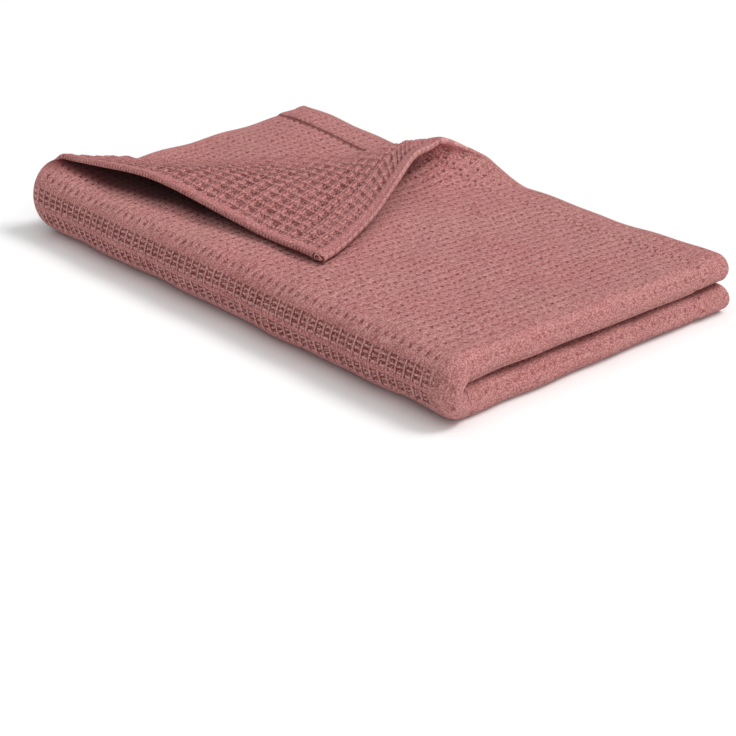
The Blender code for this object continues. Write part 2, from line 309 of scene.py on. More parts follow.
def loosen(points, outer, bend_angle):
    """Moves the open ends out and in, as loosely folded cloth lies."""
    x, y, z = points[..., 0], points[..., 1], points[..., 2]
    to_left = 1.0 - np.clip((x - LEFT) / FOLDED_LENGTH, 0.0, 1.0)
    to_back = np.clip((y - FRONT) / FOLDED_WIDTH, 0.0, 1.0)
    corner = (to_left * to_back) ** CORNER_OUT_POWER
    low = (1 - np.cos(bend_angle)) / 2
    lower = LOWER_LAYERS_OUT * low * corner
    near_front = 1.0 - soft_step(FRONT, FRONT + SETBACK_DEPTH, y)
    setback = LOWER_LEFT_SETBACK * low * near_front * to_left ** SETBACK_POWER * (outer + 1) / 2
    drawn_in = BACK_RIGHT_IN * (1 - low / 2) * to_back ** 2 * (1 - to_left) ** BACK_RIGHT_POWER
    x = x - BACK_LEFT_OUT[0] * corner - lower + setback - drawn_in
    y = y + BACK_LEFT_OUT[1] * corner + lower
    return np.stack((x, y, z), axis=-1)


def crease_axes():
    """Start of the crease, its direction, the direction to the cloth's corner, and its length."""
    start = np.array(CREASE_LEFT)
    run = np.array(CREASE_BACK) - start
    length = math.hypot(run[0], run[1])
    along = run / length
    outward = np.array((-along[1], along[0]))
    return start, along, outward, length


def roll_value(column, share):
    """One column of the ROLL table, eased from row to row."""
    place_in_row = ROLL_COLUMNS.index(column)
    value = ROLL[0][place_in_row] + 0.0 * share
    for before, after in zip(ROLL, ROLL[1:]):
        step = soft_step(before[0], after[0], share)
        value = value + (after[place_in_row] - before[place_in_row]) * step
    return value


def arch_share(down):
    """0 at the roll and at the tip, 1 where the arch of the flap is highest."""
    power = 2 * (1 - ARCH_PEAK) / ARCH_PEAK
    highest = ARCH_PEAK ** 2 * (1 - ARCH_PEAK) ** power
    return down ** 2 * (1 - down) ** power / highest


def turn_corner(points, outer, bend_angle):
    """Rolls layer 1 back along its crease, so that the cloth's corner comes to lie at TIP."""
    start, along, outward, length = crease_axes()
    offset = points[..., :2] - start
    past = offset @ outward
    beside = offset @ along
    share = np.clip(beside / length, 0.0, 1.0)
    rise = roll_value("rise", share)
    radius = roll_value("radius", share)

    # How much the flap stretches and slides, so that its corner reaches the tip
    corner = np.array((LEFT - BACK_LEFT_OUT[0], BACK + BACK_LEFT_OUT[1])) - start
    corner_past, corner_beside = corner @ outward, corner @ along
    tip_past, tip_beside = (np.array(TIP) - start) @ outward, (np.array(TIP) - start) @ along
    tip_share = corner_beside / length
    tip_angle = math.atan(RAMP_POWER * max(roll_value("rise", tip_share), 0.0) / RAMP_WIDTH)
    tip_radius = roll_value("radius", tip_share)
    tip_travel = tip_radius * (math.pi - tip_angle - math.sin(tip_angle)) - tip_past
    stretch = tip_travel / corner_past
    slide = (tip_beside - corner_beside) / corner_past

    # The bow of the crease dies out towards the flap's two straight edges
    bow = CREASE_BOW * 4 * share * (1 - share)
    left_edge = corner_past * share * length / corner_beside
    back_edge = corner_past * (1 - share) * length / (length - corner_beside)
    edge = np.minimum(left_edge, back_edge)
    to_edge = np.clip((past + bow) / np.maximum(edge + bow, LEAST_REACH), 0.0, 1.0)
    bow_left = bow * (1 - to_edge) ** 2

    # Up the ramp and round the roll, then back over the towel and down to the tip
    first_angle = np.arctan(RAMP_POWER * np.maximum(rise, 0.0) / RAMP_WIDTH)
    roll_length = radius * (math.pi - first_angle)
    travel = np.maximum(stretch * (past + bow_left), 0.0)
    angle = first_angle + np.minimum(travel, roll_length) / radius
    back_over = np.maximum(travel - roll_length, 0.0)
    down = np.clip(back_over / -tip_past, 0.0, 1.0)
    arch = roll_value("arch", share) * arch_share(down)
    roll_height = rise + radius * (np.cos(first_angle) - np.cos(angle))
    height = mix(roll_height, TIP_CLEARANCE, down) + arch
    roll_past = radius * (np.sin(angle) - np.sin(first_angle))
    new_past = roll_past - back_over - bow_left
    rolled = soft_step(0.0, 1.0, travel / roll_length)
    slip = HEM_SLIP * soft_step(HEM_SLIP_START, 1.0, share) * rolled * (1 - down ** 2)
    new_beside = beside + slide * np.maximum(past + bow_left, 0.0) - slip
    flap_xy = start + new_beside[..., None] * along + new_past[..., None] * outward
    flap_z = layer_heights(flap_xy[..., 0], flap_xy[..., 1])[0] + height

    # In front of the crease the cloth only rises, or sinks, towards the roll
    layer_1 = (outer + 1) / 2 * np.maximum(np.cos(bend_angle), 0.0)
    to_crease = np.clip(1 + (past + bow) / RAMP_WIDTH, 0.0, 1.0)
    ramp = rise * to_crease ** RAMP_POWER * layer_1
    turned = (travel > 0) & (layer_1 == 1)
    x = np.where(turned, flap_xy[..., 0], points[..., 0])
    y = np.where(turned, flap_xy[..., 1], points[..., 1])
    z = np.where(turned, flap_z, points[..., 2] + ramp)
    return np.stack((x, y, z), axis=-1)


def place(u, v):
    """Middle of the folded towel's cloth at flat points U, V."""
    points, outer, bend_angle = fold(u, v)
    points = loosen(points, outer, bend_angle)
    points = turn_corner(points, outer, bend_angle)
    return points + np.array((CENTRING[0], CENTRING[1], 0.0))


def past_crease(x, y):
    """How far a point of the folded rectangle lies past the crease, towards the corner."""
    start, _, outward, _ = crease_axes()
    return (x - start[0]) * outward[0] + (y - start[1]) * outward[1]


def painted_shade_under_flap(x, y):
    """Painted shade: 1 on layer 1's outer face deep in the fold under the turned-back corner,
    where shadow falls, 0 in the open.

    In front of the crease a point is first mirrored to the part of the corner over it.
    """
    _, _, outward, _ = crease_axes()
    behind = 2 * np.minimum(past_crease(x, y), 0.0)
    from_left = x - behind * outward[0] - LEFT
    from_back = BACK - (y - behind * outward[1])
    return soft_step(*PAINTED_SHADE_FROM_LEFT, from_left) * soft_step(*PAINTED_SHADE_FROM_BACK, from_back)


# ---- the cloth's grid
def flat_v(cell):
    """Flat V of a cell coordinate, with a whole number of cells across each hem."""
    middle = (FLAT_WIDTH - 2 * HEM_WIDTH) / (CELLS_V - 2 * HEM_CELLS)
    stops = (0, HEM_CELLS, CELLS_V - HEM_CELLS, CELLS_V)
    places = (0.0, HEM_WIDTH, HEM_WIDTH + middle * (CELLS_V - 2 * HEM_CELLS), FLAT_WIDTH)
    return np.interp(cell, stops, places)


def inside_rims(lines, steps, rim):
    """Moves the lines of the first and last cell in, to leave room for the round rim."""
    lines = lines.copy()
    share = np.linspace(1.0, 0.0, steps + 1)
    lines[: steps + 1] += rim * share
    lines[-steps - 1:] -= rim * share[::-1]
    return lines


def frame_of_cloth(u, v):
    """Middle points of the cloth, its two directions, and its normal on the outer face."""
    step = DIRECTION_STEP
    along_u = place(u + step, v) - place(u - step, v)
    along_v = place(u, v + step) - place(u, v - step)
    normal = np.cross(along_v, along_u)
    unit = lambda vectors: vectors / np.linalg.norm(vectors, axis=-1, keepdims=True)
    return place(u, v), unit(along_u), unit(along_v), unit(normal)


def lumps(u, v):
    """Soft lumps of the lying cloth, along its normal."""
    height = 0.0
    for amount, length, direction, phase in LUMPS:
        along = u * math.cos(direction) + v * math.sin(direction)
        height = height + amount * np.sin(2 * math.pi * along / length + phase)
    return height


def on_nose(u):
    """1 on the round of the first fold, 0 on the flat stretches."""
    return soft_step(*NOSE_CLOSES, np.minimum(u, FLAT_LENGTH - u) - RUN_LENGTH)


def hollow_size(u, v, side):
    """Width, length and depth of the hollows at flat U, V on that face."""
    if side == "reverse":
        flap = u < FLAT_LENGTH / 2
        return [np.where(flap, big, small)
                for big, small in zip(HOLLOWS["reverse"], HOLLOWS["layer_2"])]
    low, high = BEND_OPENS
    from_bend = np.minimum(v, FLAT_WIDTH - v) - RUN_WIDTH
    from_nose = np.minimum(u, FLAT_LENGTH - u) - RUN_LENGTH
    opened = soft_step(low, high, from_bend) * (1 - soft_step(*BOXES_END, from_nose))
    return [mix(flat, bend, opened) for flat, bend in zip(HOLLOWS["flat"], HOLLOWS["bend"])]


def hollow(cell_u, cell_v, width, length):
    """0 outside a cell's hollow and 1 at its bottom, an upturned pyramid."""
    from_middle_u = np.abs((cell_u % 1.0) - 0.5) * 2 / width
    from_middle_v = np.abs((cell_v % 1.0) - 0.5) * 2 / length
    return np.clip(1 - np.maximum(from_middle_u, from_middle_v), 0.0, 1.0)


def flat_u(cell_u, v, side):
    """Flat U of a cell coordinate; the cells of the reverse face are pulled out of shape."""
    if side == "outer":
        return cell_u * FLAT_LENGTH / CELLS_U
    share = soft_step(*PULL_START_V, v) * (1 - soft_step(*PULL_END_V, v))
    grown = np.minimum(cell_u, PULL_CELLS) ** 3 * (1 - soft_step(*PULL_END, cell_u))
    return (cell_u + PULL * share * grown) * FLAT_LENGTH / CELLS_U


def half_thickness(u, v):
    """Half of the cloth's thickness, thicker on the hems."""
    from_end = np.minimum(u, FLAT_LENGTH - u)
    from_edge = np.minimum(v, FLAT_WIDTH - v)
    at_end = (1 - soft_step(*HEM_END_WIDTH, from_end)) * soft_step(*HEM_ROLL_WIDTH, from_edge)
    hem = HEM_THICKNESS * HEM_PRESSED * mix(1.0, HEM_END_PRESSED, at_end)
    return mix(CLOTH_THICKNESS, hem, hem_share(v)) / 2


def seam_distance(v):
    """Distance inwards from the seam of the nearer hem; negative on the hem."""
    return np.minimum(v, FLAT_WIDTH - v) - HEM_WIDTH


def seam_groove(v):
    return SEAM_DEPTH * np.exp(-(seam_distance(v) / SEAM_HALF_WIDTH) ** 2)


def weave_strength(u, v, side):
    """1 on open cloth, less on hems, noses and round the crease, 0 on the plain bands."""
    from_end = np.minimum(u, FLAT_LENGTH - u)
    from_edge = np.minimum(v, FLAT_WIDTH - v)
    plain = soft_step(SELVEDGE_WIDTH * SELVEDGE_PLAIN, SELVEDGE_WIDTH, from_end)
    low, high = HEM_HOLLOW_STEP
    past_hem = soft_step(HEM_WIDTH + low, HEM_WIDTH + high, from_edge)
    hem = 1 - (1 - HEM_HOLLOW_SHARE) * (1 - past_hem)
    edge = soft_step(*EDGE_PLAIN, from_edge)
    strength = plain * hem * edge * mix(1.0, NOSE_STRENGTH, on_nose(u))
    from_bend = from_edge - RUN_WIDTH
    beside = soft_step(*BESIDE_BEND, from_bend) * (1 - soft_step(*BEND_OPENS, from_bend))
    strength = strength * mix(1.0, BESIDE_BEND_STRENGTH, beside)
    if side == "reverse":
        past = past_crease(LEFT + np.minimum(u, FLAT_LENGTH - u), BACK - v)
        calm = mix(ROLL_STRENGTH, 1.0, soft_step(*ROLL_CALM, past))
        strength = strength * np.where(u < FLAT_LENGTH / 2, calm, LAYER_2_STRENGTH)
    return strength


def shown_cells(u, v, side):
    """Whether a cell whose middle is at U, V shows on that face, and gets the fine grid."""
    past = past_crease(LEFT + np.minimum(u, FLAT_LENGTH - u), BACK - v)
    if side == "outer":
        first_half = u < FLAT_LENGTH - RUN_LENGTH + FOLD_MARGIN
        upper_half = v < FLAT_WIDTH - RUN_WIDTH + FOLD_MARGIN
        nose = np.abs(u - FLAT_LENGTH / 2) < FLAT_LENGTH / 2 - RUN_LENGTH + FOLD_MARGIN
        return (first_half & upper_half & (past < UNDER_FLAP_MARGIN)) | nose
    flap = (u < RUN_LENGTH) & (v < RUN_WIDTH) & (past > -CREASE_MARGIN)
    layer_2 = (u > FLAT_LENGTH - RUN_LENGTH) & (v < RUN_WIDTH) & (past > -LAYER_2_MARGIN)
    return flap | layer_2


class ClothMesh:
    """Collects the points and faces of both faces of the cloth and of its rim."""

    def __init__(self):
        self.points, self.faces = [], []
        self.values = {name: [] for name in VECTOR_VALUES + NUMBER_VALUES}
        self.count = 0

    def add(self, points, **values):
        """Adds points above the surface that the towel lies on; returns their numbers."""
        points[:, 2] = np.maximum(points[:, 2], 0.0)
        first = self.count
        self.points.append(points)
        for name, value in values.items():
            self.values[name].append(value)
        self.count += len(points)
        return first + np.arange(len(points))


def cell_noise(seed):
    """A random value for each cell."""
    rng = np.random.default_rng(seed)
    return rng.uniform(-1.0, 1.0, (CELLS_U + 2, CELLS_V + 2))


def cloth_grid():
    """The fine grid's lines, as cell coordinates and as flat U and V."""
    cells_u = np.arange(CELLS_U * STEPS_U + 1) / STEPS_U
    cells_v = np.arange(CELLS_V * STEPS_V + 1) / STEPS_V
    lines_u = inside_rims(cells_u * FLAT_LENGTH / CELLS_U, STEPS_U, RIM_REACH_U)
    lines_v = inside_rims(flat_v(cells_v), STEPS_V, RIM_REACH_V)
    return SimpleNamespace(cells_u=cells_u, cells_v=cells_v, lines_u=lines_u, lines_v=lines_v)


def build_cloth():
    grid = cloth_grid()
    ring = np.array(border(0, len(grid.lines_u) - 1, 0, len(grid.lines_v) - 1))
    noise = cell_noise(CELL_SEED)
    cloth = ClothMesh()
    rings = {}
    for side in SIDES:
        index = add_side(cloth, side, grid, noise)
        rings[side] = index[ring[:, 0], ring[:, 1]]
    add_rim(cloth, rings, ring, grid)
    return cloth


def points_in_use(fine):
    """Which points of the grid lie on cells that show, and which carry any face at all."""
    dense = np.zeros((CELLS_U * STEPS_U + 1, CELLS_V * STEPS_V + 1), bool)
    for a, b in zip(*np.nonzero(fine)):
        dense[a * STEPS_U:(a + 1) * STEPS_U + 1, b * STEPS_V:(b + 1) * STEPS_V + 1] = True
    used = dense.copy()
    used[::STEPS_U, ::STEPS_V] = True
    used[0, :] = used[-1, :] = used[:, 0] = used[:, -1] = True
    return dense, used


def pits(cell_u, cell_v, width, length, strength, number, side):
    """How deep in the hollows each point is, from 0 on the face to about 1 at their bottoms."""
    pit = hollow(cell_u, cell_v, width, length) * strength
    pit = pit * (1 + HOLLOW_UNEVENNESS * number)
    if side == "outer":
        lies_flat = (width - HOLLOWS["flat"][0]) < STILL_FLAT
        between = hollow(cell_u, cell_v + 0.5, width, length) * strength
        pit = pit + BETWEEN * between * lies_flat
    return pit


def add_side(cloth, side, grid, noise):
    """Adds one face of the cloth with its hollows; returns the grid of its points' numbers."""
    sign, shift = SIDES[side]
    middles_u = (np.arange(CELLS_U) + 0.5)[:, None] + np.zeros((1, CELLS_V))
    middles_v = flat_v(np.arange(CELLS_V) + 0.5)[None, :] + np.zeros((CELLS_U, 1))
    fine = shown_cells(flat_u(middles_u, middles_v, side), middles_v, side)
    dense, used = points_in_use(fine)

    at_u, at_v = np.nonzero(used)
    cell_u, cell_v = grid.cells_u[at_u], grid.cells_v[at_v]
    v = grid.lines_v[at_v]
    u = grid.lines_u[at_u] + flat_u(cell_u, v, side) - cell_u * FLAT_LENGTH / CELLS_U
    cell_u, cell_v = cell_u + shift, cell_v + shift
    strength = weave_strength(u, v, side) * dense[at_u, at_v]
    width, length, depth = hollow_size(u, v, side)
    number = noise[cell_u.astype(int), cell_v.astype(int)]
    pit = pits(cell_u, cell_v, width, length, strength, number, side)
    middle, _, _, normal = frame_of_cloth(u, v)
    height = half_thickness(u, v) - depth * pit - seam_groove(v) + sign * lumps(u, v)
    nothing = 0.0 * u
    if side == "outer":
        reverse = nothing
        # Painted shade in the fold under the turned-back corner, on layer 1's outer face
        dusk = painted_shade_under_flap(LEFT + u, BACK - v) * (v < FLAT_WIDTH / 2)
    else:
        reverse = np.where(u < FLAT_LENGTH / 2, 1.0, LAYER_2_REVERSE)
        dusk = nothing
    index = np.full(used.shape, -1)
    index[at_u, at_v] = cloth.add(
        middle + sign * height[:, None] * normal,
        weave=np.stack((cell_u, cell_v, strength), axis=-1),
        hole=np.stack((width, length, reverse), axis=-1),
        roll_end=np.stack((nothing, nothing, nothing), axis=-1),
        seam=seam_distance(v), dusk=dusk)
    add_cells(cloth, index, used, fine, flip=sign < 0)
    return index


def add_cells(cloth, index, used, fine, flip):
    """Faces of one side: small quads on the cells that show, one polygon on the others."""
    for a in range(CELLS_U):
        for b in range(CELLS_V):
            left, right = a * STEPS_U, (a + 1) * STEPS_U
            low, high = b * STEPS_V, (b + 1) * STEPS_V
            if fine[a, b]:
                block = index[left:right + 1, low:high + 1]
                quads = np.stack(
                    (block[:-1, :-1], block[:-1, 1:], block[1:, 1:], block[1:, :-1]), axis=-1)
                loops = quads.reshape(-1, 4).tolist()
            else:
                around = border(left, right, low, high)
                loops = [[int(index[i, j]) for i, j in around if used[i, j]]]
            cloth.faces += [loop[::-1] for loop in loops] if flip else loops


def border(left, right, low, high):
    """Places round a block of the grid, in the order of the outer face's loops."""
    return (
        [(left, j) for j in range(low, high)]
        + [(i, high) for i in range(left, right)]
        + [(right, j) for j in range(high, low, -1)]
        + [(i, low) for i in range(right, left, -1)]
    )


def out_of_grid(at, lines):
    """-1 on the first line, 1 on the last and 0 between them."""
    return np.where(at == 0, -1.0, np.where(at == len(lines) - 1, 1.0, 0.0))


def add_rim(cloth, rings, ring, grid):
    """Round strip that joins the outer face to the reverse face along the cloth's edge."""
    at_u, at_v = ring[:, 0], ring[:, 1]
    u, v = grid.lines_u[at_u], grid.lines_v[at_v]
    middle, along_u, along_v, normal = frame_of_cloth(u, v)
    out_u, out_v = out_of_grid(at_u, grid.lines_u), out_of_grid(at_v, grid.lines_v)
    outward = (out_u * RIM_REACH_U)[:, None] * along_u + (out_v * RIM_REACH_V)[:, None] * along_v
    half = half_thickness(u, v)
    nothing = 0.0 * u
    whole = nothing + 1.0
    before = rings["outer"]
    for row in range(1, RIM_ROWS + 1):
        angle = math.pi * row / (RIM_ROWS + 1)
        lift = half * math.cos(angle)
        reach = math.sin(angle) * RIM_CELLS
        cell_u = grid.cells_u[at_u] + out_u * reach
        cell_v = grid.cells_v[at_v] + out_v * reach
        after = cloth.add(
            middle + outward * math.sin(angle) + (lift + lumps(u, v))[:, None] * normal,
            weave=np.stack((cell_u, cell_v, nothing), axis=-1),
            hole=np.stack((whole, whole, nothing), axis=-1),
            roll_end=np.stack((np.minimum(v, FLAT_WIDTH - v), lift, np.abs(out_u)), axis=-1),
            seam=seam_distance(v), dusk=nothing)
        join_rings(cloth, before, after)
        before = after
    join_rings(cloth, before, rings["reverse"])


def join_rings(cloth, upper, lower):
    """Quads between two rings of the same length."""
    next_upper, next_lower = np.roll(upper, -1), np.roll(lower, -1)
    quads = np.stack((upper, lower, next_lower, next_upper), axis=-1)
    cloth.faces += quads.tolist()


# ---- material
# HOLLOW_COLOUR is painted shade in the hollows and in the fold under the turned-back corner, and
# it also colours the ladder's dark gaps, layer 2's seam line and the rolled hem's dark turns;
# DEEP_COLOUR is the deeper yarn, and also painted shade on the hollows' walls
FIELD_COLOUR = (0.455, 0.190, 0.176, 1.0)
HOLLOW_COLOUR = (0.090, 0.009, 0.010, 1.0)
PALE_COLOUR = (0.700, 0.365, 0.345, 1.0)
DEEP_COLOUR = (0.225, 0.048, 0.045, 1.0)
PINK_COLOUR = (0.450, 0.142, 0.142, 1.0)
SURFACE = {
    "Roughness": 0.93,
    "Specular IOR Level": 0.2,
    "Sheen Weight": 0.10,
    "Sheen Roughness": 0.45,
    "Sheen Tint": (1.0, 0.86, 0.84, 1.0),
}

# Scale, detail and roughness of the noises: per metre, and per stroke for the loose strokes
NOISES = {
    "fuzz": (1500.0, 2.0, 0.6),
    "grain": (1350.0, 1.0, 0.5),
    "patches": (26.0, 3.0, 0.5),
    "strokes": (1.0, 1.0, 0.5),
}
LADDER = 4.0                # short yarns across a hollow of the front bend
REVERSE_FLOATS = 4.0        # yarns side by side in a cell of the reverse face
FAR_WALL_NARROWS = 0.75     # how fast the painted shade on the far wall of a reverse hollow narrows downwards
STITCH_INSET = 0.0016       # the stitches lie this far in from the hem's seam
ROLL_END_CENTRE = 0.0036    # middle of the rolled hem's end, from the cloth's edge
ROLL_END_RADIUS = 0.0034
ROLL_END_PITCH = 0.0015     # from one turn of the roll to the next
PAINTED_SHADE_SHARE = 0.92           # how dark the painted shade in the fold under the turned-back corner gets

# Share of each pattern in the bump, and the bump's depth in metres
RELIEF = {"strokes": 0.8, "ladder": -0.3, "floats": 0.3, "grain": 0.8, "fuzz": 0.5}
RELIEF_DISTANCE = 0.0005
RELIEF_STRENGTH = 0.9

# Soft ramps of the material: a value's low and high end, and what each of them gives.
# "opened" is 1 in the boxes of the front bend, and "reverse" is 1 on the turned-back corner
# and LAYER_2_REVERSE on layer 2.  In a cell, "far" is 0 in the middle of the hollow and 1 at
# its edge, and "from" is 1 at the edge of the cell: across it (u) and along it (v).
RAMPS = {
    # The patterns of the yarn
    "opened": (HOLLOWS["flat"][0], HOLLOWS["bend"][0], 0.0, 1.0),
    "not_opened": (0.0, 1.0, 1.0, 0.0),
    "not_reverse": (0.0, 1.0, 1.0, 0.0),
    "strokes_across": (0.0, 1.0, 6.0, 2.0),
    "strokes_along": (0.0, 1.0, 2.0, 6.0),
    "ladder_u": (0.60, 0.80, 1.0, 0.0),
    "ladder_v": (0.85, 1.0, 1.0, 0.0),
    "floats": (0.5, 0.9, 0.15, 1.0),
    # The colours of the yarn
    "pink_patches": (0.40, 0.66, 0.0, 0.6),
    "pink_reverse": (0.0, 1.0, 0.0, 0.7),
    "calm": (0.2, 0.7, 0.45, 1.0),
    "pale_strokes": (0.48, 0.62, 0.0, 0.44),
    "deep_strokes": (0.36, 0.50, 0.34, 0.0),
    "pale_floats": (0.0, 0.9, 0.0, 0.55),
    "deep_floats": (-0.9, 0.0, 0.38, 0.0),
    "pale_ladder": (0.1, 0.9, 0.0, 0.78),
    "dark_ladder": (-0.9, -0.1, 0.68, 0.0),
    "pale_grain": (0.48, 0.60, 0.0, 0.52),
    "deep_grain": (0.38, 0.50, 0.42, 0.0),
    "deep_fuzz": (0.36, 0.50, 0.26, 0.0),
    # The pale lip beside a hollow, and the painted shade of its wall, its dark bottom and its far
    # wall
    "lip_starts": (0.85, 1.05, 0.0, 1.0),
    "lip_ends": (1.20, 1.50, 1.0, 0.0),
    "lip_v": (0.72, 0.98, 1.0, 0.0),
    "lip_opened": (0.0, 1.0, 0.5, 0.70),
    "lip_reverse": (0.0, 1.0, 1.0, 0.3),
    "wall": (0.05, 0.35, 0.0, 0.72),
    "wall_reverse": (0.0, 1.0, 1.0, 0.3),
    "bottom": (0.15, 0.60, 0.0, 1.0),
    "bottom_reverse": (0.0, 1.0, 1.0, 0.45),
    "bottom_opened": (0.0, 1.0, 1.0, 0.70),
    "far_wall": (-0.15, 0.12, 0.0, 0.95),
    "far_wall_inside": (0.0, 0.08, 0.0, 1.0),
    # The painted shade on the sides of a box, and the ridge between two rows of boxes
    "side_starts": (0.50, 0.70, 0.0, 1.0),
    "side_ends": (0.92, 1.08, 1.0, 0.0),
    "side_v": (0.85, 1.0, 1.0, 0.0),
    "ridge": (0.86, 0.96, 0.0, 0.55),
    # Each cell is a little deeper or lighter than the next, but less so in the boxes
    "uneven": (0.0, 1.0, 0.65, 1.0),
    "uneven_opened": (0.0, 1.0, 0.0, 0.8),
    # The painted shade in the small hollows between the others, and the yarns across the reverse
    # face's ridges
    "between": (0.30, 0.95, BETWEEN, 0.0),
    "crossed_v": (0.72, 0.88, 0.0, 0.65),
    "crossed_u": (0.35, 0.75, 1.0, 0.0),
    # The seams, by the distance from their line, and their stitches
    "layer_2_from": (0.10, 0.20, 0.0, 1.0),
    "layer_2_to": (0.40, 0.60, 1.0, 0.0),
    "layer_2_line": (0.0002, 0.0008, 0.60, 0.0),
    "stitch": (0.0004, 0.0009, 1.0, 0.0),
    "dash": (0.62, 0.74, 1.0, 0.0),
    "dash_reverse": (0.0, 1.0, 0.3, 0.9),
    "gap": (0.72, 0.84, 0.0, 0.7),
    # The end of the rolled hem
    "in_roll_end": (ROLL_END_RADIUS * 0.95, ROLL_END_RADIUS * 1.15, 1.0, 0.0),
    "dark_spiral": (-0.4, 0.3, 1.0, 0.0),
    "pale_spiral": (0.3, 0.8, 0.0, 0.7),
}


class Nodes:
    """Short helpers that add shader nodes and link them."""

    def __init__(self, tree):
        self.tree = tree

    def node(self, kind, **settings):
        node = self.tree.nodes.new(kind)
        for name, value in settings.items():
            setattr(node, name, value)
        return node

    def put(self, value, socket):
        """Sets a socket to a number or colour, or links another node's output to it."""
        if isinstance(value, (int, float, tuple)):
            socket.default_value = value
        else:
            self.tree.links.new(value, socket)

    def math(self, operation, *values):
        node = self.node("ShaderNodeMath", operation=operation)
        for socket, value in zip(node.inputs, values):
            self.put(value, socket)
        return node.outputs[0]

    def times(self, first, *others):
        for other in others:
            first = self.math("MULTIPLY", first, other)
        return first

    def ramp(self, name, value, smooth=True):
        node = self.node("ShaderNodeMapRange")
        node.interpolation_type = "SMOOTHSTEP" if smooth else "LINEAR"
        for socket, number in zip(("From Min", "From Max", "To Min", "To Max"), RAMPS[name]):
            node.inputs[socket].default_value = number
        self.put(value, node.inputs["Value"])
        return node.outputs[0]

    def ramps(self, **values):
        """Product of the named ramps."""
        return self.times(*[self.ramp(name, value) for name, value in values.items()])

    def blend(self, share, first, second):
        node = self.node("ShaderNodeMix", data_type="RGBA")
        for place_in_node, value in ((0, share), (6, first), (7, second)):
            self.put(value, node.inputs[place_in_node])
        return node.outputs[2]

    def attribute(self, name, output):
        return self.node("ShaderNodeAttribute", attribute_name=name).outputs[output]

    def split(self, vector):
        node = self.node("ShaderNodeSeparateXYZ")
        self.put(vector, node.inputs[0])
        return node.outputs

    def noise(self, name, vector):
        node = self.node("ShaderNodeTexNoise")
        for socket, number in zip(("Scale", "Detail", "Roughness"), NOISES[name]):
            node.inputs[socket].default_value = number
        self.put(vector, node.inputs["Vector"])
        return node.outputs["Fac"]


def place_in_cell(nodes):
    """Where a point is in its cell of the weave, and how far down its hollow."""
    weave = nodes.attribute("weave", "Vector")
    cell_u, cell_v, strength = nodes.split(weave)
    width, length, reverse = nodes.split(nodes.attribute("hole", "Vector"))
    place_u = nodes.math("SUBTRACT", nodes.math("FRACT", cell_u), 0.5)
    place_v = nodes.math("SUBTRACT", nodes.math("FRACT", cell_v), 0.5)
    from_u = nodes.times(nodes.math("ABSOLUTE", place_u), 2.0)
    from_v = nodes.times(nodes.math("ABSOLUTE", place_v), 2.0)
    far_u = nodes.math("DIVIDE", from_u, width)
    far_v = nodes.math("DIVIDE", from_v, length)
    down = nodes.math("SUBTRACT", 1.0, nodes.math("MAXIMUM", far_u, far_v))
    opened = nodes.ramp("opened", nodes.math("SUBTRACT", width, reverse))
    return SimpleNamespace(
        weave=weave, cell_u=cell_u, cell_v=cell_v, strength=strength, length=length,
        reverse=reverse, place_u=place_u, from_u=from_u, from_v=from_v,
        far_u=far_u, far_v=far_v, down=down, opened=opened)


def yarn_patterns(nodes, cell):
    """Loose strokes, short yarns across the hollows and ridges, fine grain and fuzz."""
    where = nodes.node("ShaderNodeTexCoord").outputs["Object"]
    stroke = nodes.node("ShaderNodeCombineXYZ")
    across = nodes.times(cell.cell_u, nodes.ramp("strokes_across", cell.reverse))
    along = nodes.times(cell.cell_v, nodes.ramp("strokes_along", cell.reverse))
    nodes.put(across, stroke.inputs[0])
    nodes.put(along, stroke.inputs[1])
    ladder = nodes.math("SINE", nodes.times(cell.cell_v, 2 * math.pi * LADDER))
    in_box = nodes.times(nodes.ramps(ladder_u=cell.far_u, ladder_v=cell.far_v), cell.opened)
    floats = nodes.math("SINE", nodes.times(cell.cell_v, 2 * math.pi * REVERSE_FLOATS))
    return SimpleNamespace(
        fuzz=nodes.noise("fuzz", where), grain=nodes.noise("grain", where),
        patches=nodes.noise("patches", where), strokes=nodes.noise("strokes", stroke.outputs[0]),
        ladder=nodes.times(ladder, in_box),
        floats=nodes.times(floats, cell.reverse, nodes.ramp("floats", cell.strength)))


def yarn_colour(nodes, cell, yarn):
    """Raised and loose yarn is pale, the yarn under it deeper and redder."""
    pink = nodes.math("MAXIMUM", nodes.ramp("pink_patches", yarn.patches),
                      nodes.ramp("pink_reverse", cell.reverse))
    colour = nodes.blend(pink, FIELD_COLOUR, PINK_COLOUR)
    calm = nodes.ramp("calm", cell.strength)
    pale = nodes.times(nodes.ramp("pale_strokes", yarn.strokes), calm)
    colour = nodes.blend(pale, colour, PALE_COLOUR)
    deep = nodes.times(nodes.ramp("deep_strokes", yarn.strokes), calm)
    colour = nodes.blend(deep, colour, DEEP_COLOUR)
    colour = nodes.blend(nodes.ramp("pale_floats", yarn.floats), colour, PALE_COLOUR)
    return nodes.blend(nodes.ramp("deep_floats", yarn.floats), colour, DEEP_COLOUR)


